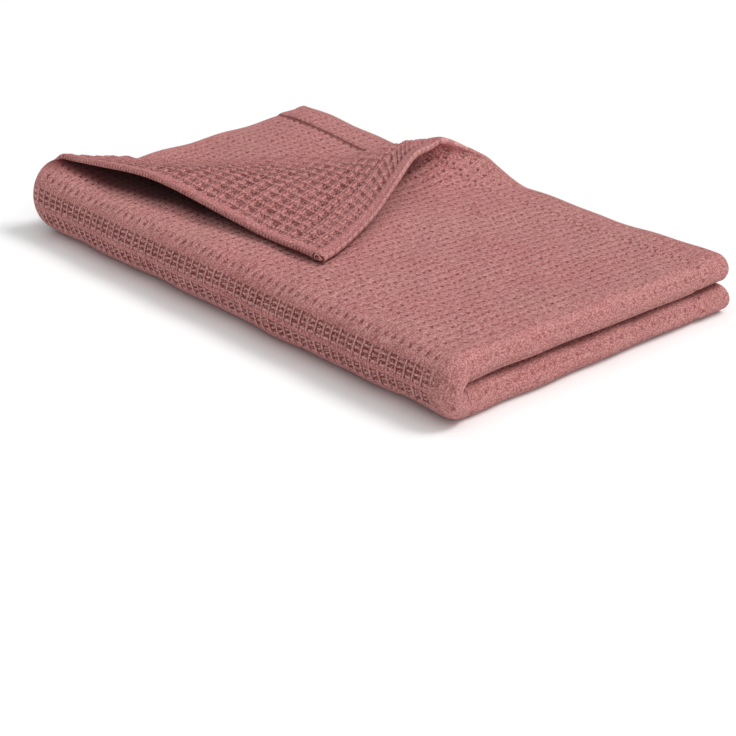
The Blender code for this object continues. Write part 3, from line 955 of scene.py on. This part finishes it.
def hollow_colour(nodes, cell, colour):
    """A pale lip beside each hollow, and painted shade: a deeper wall, a dark bottom, a darker
    far wall on the reverse face and dark sides in the boxes.
    """
    lip = nodes.ramps(lip_starts=cell.far_u, lip_ends=cell.far_u, lip_v=cell.far_v,
                      lip_opened=cell.opened, lip_reverse=cell.reverse)
    colour = nodes.blend(nodes.times(lip, cell.strength), colour, PALE_COLOUR)
    wall = nodes.ramps(wall=cell.down, wall_reverse=cell.reverse)
    colour = nodes.blend(nodes.times(wall, cell.strength), colour, DEEP_COLOUR)

    bottom = nodes.ramps(bottom=cell.down, bottom_reverse=cell.reverse)
    # Painted shade on the wall at the +U side of a reverse hollow, the side turned from the key
    # lamp
    far_wall = nodes.math("SUBTRACT", nodes.times(cell.place_u, 2.0, cell.reverse),
                          nodes.times(cell.from_v, FAR_WALL_NARROWS))
    far_wall = nodes.ramps(far_wall=far_wall, far_wall_inside=cell.down)
    bottom = nodes.times(nodes.math("MAXIMUM", bottom, far_wall),
                         nodes.ramp("bottom_opened", cell.opened))
    # Painted shade on the sides of the boxes of the front bend
    side = nodes.ramps(side_starts=cell.far_u, side_ends=cell.far_u, side_v=cell.far_v)
    dark = nodes.math("MAXIMUM", bottom, nodes.times(side, cell.opened))
    number = nodes.node("ShaderNodeTexWhiteNoise", noise_dimensions="2D")
    whole_cell = nodes.node("ShaderNodeVectorMath", operation="FLOOR")
    nodes.put(cell.weave, whole_cell.inputs[0])
    nodes.put(whole_cell.outputs[0], number.inputs["Vector"])
    uneven = nodes.math("MAXIMUM", nodes.ramp("uneven", number.outputs["Value"], smooth=False),
                        nodes.ramp("uneven_opened", cell.opened))
    return nodes.blend(nodes.times(dark, cell.strength, uneven), colour, HOLLOW_COLOUR)


def ridge_colour(nodes, cell, colour):
    """The ridge between the boxes, painted shade in the small hollows on flat cloth, and crossed
    yarns.
    """
    ridge = nodes.times(nodes.ramp("ridge", cell.from_v), cell.opened)
    colour = nodes.blend(ridge, colour, PINK_COLOUR)
    far_v = nodes.math("DIVIDE", nodes.math("SUBTRACT", 1.0, cell.from_v), cell.length)
    between = nodes.ramps(between=nodes.math("MAXIMUM", cell.far_u, far_v),
                          not_opened=cell.opened, not_reverse=cell.reverse)
    colour = nodes.blend(nodes.times(between, cell.strength), colour, HOLLOW_COLOUR)
    crossed = nodes.ramps(crossed_v=cell.from_v, crossed_u=cell.from_u)
    crossed = nodes.times(crossed, cell.reverse, cell.strength)
    return nodes.blend(crossed, colour, DEEP_COLOUR)


def fine_yarn_colour(nodes, yarn, colour):
    for ramp, value, tint in (
            ("pale_ladder", yarn.ladder, PALE_COLOUR),
            ("dark_ladder", yarn.ladder, HOLLOW_COLOUR),
            ("pale_grain", yarn.grain, PALE_COLOUR),
            ("deep_grain", yarn.grain, DEEP_COLOUR),
            ("deep_fuzz", yarn.fuzz, DEEP_COLOUR)):
        colour = nodes.blend(nodes.ramp(ramp, value), colour, tint)
    return colour


def seam_colour(nodes, cell, colour):
    """Pale stitches along the hems' seams, and a dark line instead of them on layer 2."""
    seam = nodes.math("ADD", nodes.attribute("seam", "Fac"), STITCH_INSET)
    from_line = nodes.math("ABSOLUTE", seam)
    on_layer_2 = nodes.ramps(layer_2_from=cell.reverse, layer_2_to=cell.reverse)
    line = nodes.times(nodes.ramp("layer_2_line", from_line), on_layer_2)
    colour = nodes.blend(line, colour, HOLLOW_COLOUR)
    elsewhere = nodes.math("SUBTRACT", 1.0, on_layer_2)
    stitch = nodes.times(nodes.ramp("stitch", from_line), elsewhere)
    dash = nodes.ramps(dash=cell.from_u, dash_reverse=cell.reverse)
    colour = nodes.blend(nodes.times(stitch, dash), colour, PALE_COLOUR)
    gap = nodes.times(stitch, nodes.ramp("gap", cell.from_u))
    return nodes.blend(gap, colour, DEEP_COLOUR)


def roll_end_colour(nodes, colour):
    """The spiral that the rolled hem shows at its end."""
    across, lift, at_end = nodes.split(nodes.attribute("roll_end", "Vector"))
    across = nodes.math("SUBTRACT", across, ROLL_END_CENTRE)
    out = nodes.math("SQRT", nodes.math(
        "ADD", nodes.times(across, across), nodes.times(lift, lift)))
    turn = nodes.math("DIVIDE", nodes.math("ARCTAN2", lift, across), 2 * math.pi)
    turns = nodes.math("SUBTRACT", nodes.math("DIVIDE", out, ROLL_END_PITCH), turn)
    spiral = nodes.math("SINE", nodes.times(turns, 2 * math.pi))
    inside = nodes.times(nodes.ramp("in_roll_end", out), at_end)
    pale = nodes.times(nodes.ramp("pale_spiral", spiral), inside)
    colour = nodes.blend(pale, colour, PALE_COLOUR)
    dark = nodes.times(nodes.ramp("dark_spiral", spiral), inside)
    return nodes.blend(dark, colour, HOLLOW_COLOUR)


def yarn_relief(nodes, yarn):
    """Bump of the yarns, which are finer than the mesh."""
    heights = [nodes.times(getattr(yarn, name), share) for name, share in RELIEF.items()]
    height = heights[0]
    for other in heights[1:]:
        height = nodes.math("ADD", height, other)
    bump = nodes.node("ShaderNodeBump")
    bump.inputs["Strength"].default_value = RELIEF_STRENGTH
    bump.inputs["Distance"].default_value = RELIEF_DISTANCE
    nodes.put(height, bump.inputs["Height"])
    return bump.outputs["Normal"]


def towel_material():
    material = bpy.data.materials.new("towel_cloth")
    material.use_nodes = True
    nodes = Nodes(material.node_tree)
    shader = material.node_tree.nodes["Principled BSDF"]
    for name, value in SURFACE.items():
        shader.inputs[name].default_value = value
    cell = place_in_cell(nodes)
    yarn = yarn_patterns(nodes, cell)
    colour = yarn_colour(nodes, cell, yarn)
    colour = hollow_colour(nodes, cell, colour)
    colour = ridge_colour(nodes, cell, colour)
    colour = fine_yarn_colour(nodes, yarn, colour)
    colour = seam_colour(nodes, cell, colour)
    colour = roll_end_colour(nodes, colour)
    # Painted shade: the fold under the turned-back corner darkens towards HOLLOW_COLOUR
    dusk = nodes.times(nodes.attribute("dusk", "Fac"), PAINTED_SHADE_SHARE)
    colour = nodes.blend(dusk, colour, HOLLOW_COLOUR)
    nodes.put(colour, shader.inputs["Base Color"])
    nodes.put(yarn_relief(nodes, yarn), shader.inputs["Normal"])
    return material


# ---- pieces
def add_values(mesh, cloth, names, kind, field):
    """Stores what the material reads at each point of the cloth."""
    for name in names:
        attribute = mesh.attributes.new(name, kind, "POINT")
        values = np.concatenate(cloth.values[name]).astype(np.float32)
        attribute.data.foreach_set(field, values.ravel())


def make_towel():
    cloth = build_cloth()
    mesh = bpy.data.meshes.new("towel")
    mesh.from_pydata(np.concatenate(cloth.points).tolist(), [], cloth.faces)
    mesh.shade_smooth()
    add_values(mesh, cloth, VECTOR_VALUES, "FLOAT_VECTOR", "vector")
    add_values(mesh, cloth, NUMBER_VALUES, "FLOAT", "value")
    mesh.materials.append(towel_material())
    towel = bpy.data.objects.new("towel", mesh)
    bpy.context.scene.collection.objects.link(towel)
    return towel


FLOOR_HALF_SIZE = 6.0
FLOOR_COLOUR = (0.97, 0.97, 0.97, 1.0)
FLOOR_ROUGHNESS = 0.8


def make_floor():
    corners = [(x * FLOOR_HALF_SIZE, y * FLOOR_HALF_SIZE, 0)
               for x, y in ((-1, -1), (1, -1), (1, 1), (-1, 1))]
    mesh = bpy.data.meshes.new("floor")
    mesh.from_pydata(corners, [], [(0, 1, 2, 3)])
    material = bpy.data.materials.new("pale_floor")
    material.use_nodes = True
    shader = material.node_tree.nodes["Principled BSDF"]
    shader.inputs["Base Color"].default_value = FLOOR_COLOUR
    shader.inputs["Roughness"].default_value = FLOOR_ROUGHNESS
    mesh.materials.append(material)
    floor = bpy.data.objects.new("floor", mesh)
    floor.location.z = min(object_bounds()[0][2], 0.0)
    bpy.context.scene.collection.objects.link(floor)


# ---- light and camera
SKY_COLOUR = (1.0, 1.0, 1.0, 1.0)
SKY_STRENGTH = 0.10

# Direction of each distant lamp, the share of white that it gives a face turned to it, and
# its angle across, in degrees
LAMPS = {
    "overhead": ((0.15, 0.10, 0.98), 0.52, 90.0),
    "key": ((0.35, 0.50, 0.79), 0.46, 22.0),
    "fill": ((0.75, -0.55, 0.35), 0.28, 40.0),
}

CAMERA_AZIMUTH = math.radians(48.4)     # from the towel's front, towards its right
CAMERA_ELEVATION = math.radians(25.1)
CAMERA_DISTANCE = 1.052
CAMERA_ASIDE = 0.002
CAMERA_UP = -0.0505
CAMERA_CLIP = 0.01
FOCAL_PIXELS = 2050.0
IMAGE_PIXELS = 736
SENSOR = 36.0


def make_light():
    world = bpy.data.worlds.new("studio")
    world.use_nodes = True
    background = world.node_tree.nodes["Background"]
    background.inputs["Color"].default_value = SKY_COLOUR
    background.inputs["Strength"].default_value = SKY_STRENGTH
    bpy.context.scene.world = world
    for name, (towards, share, angle) in LAMPS.items():
        light = bpy.data.lights.new(name, "SUN")
        light.energy = share * math.pi
        light.angle = math.radians(angle)
        lamp = bpy.data.objects.new(name, light)
        lamp.rotation_euler = Vector(towards).to_track_quat("Z", "Y").to_euler()
        bpy.context.scene.collection.objects.link(lamp)


def make_camera():
    sin_a, cos_a = math.sin(CAMERA_AZIMUTH), math.cos(CAMERA_AZIMUTH)
    sin_e, cos_e = math.sin(CAMERA_ELEVATION), math.cos(CAMERA_ELEVATION)
    back = Vector((sin_a * cos_e, -cos_a * cos_e, sin_e))
    right = Vector((cos_a, sin_a, 0.0))
    up = back.cross(right)
    data = bpy.data.cameras.new("camera")
    data.sensor_width = SENSOR
    data.lens = FOCAL_PIXELS / IMAGE_PIXELS * SENSOR
    data.clip_start = CAMERA_CLIP
    camera = bpy.data.objects.new("camera", data)
    location = back * CAMERA_DISTANCE + right * CAMERA_ASIDE + up * CAMERA_UP
    location += Vector((CENTRING[0], CENTRING[1], 0.0))
    turn = Matrix((right, up, back)).transposed().to_4x4()
    camera.matrix_world = Matrix.Translation(location) @ turn
    bpy.context.scene.collection.objects.link(camera)
    bpy.context.scene.camera = camera


def main():
    towel = make_towel()
    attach(towel, "root")
    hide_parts("dish_towel")
    make_floor()
    make_light()
    make_camera()
    settings = bpy.context.scene.view_settings
    settings.view_transform = "Standard"
    settings.look = "None"


main()
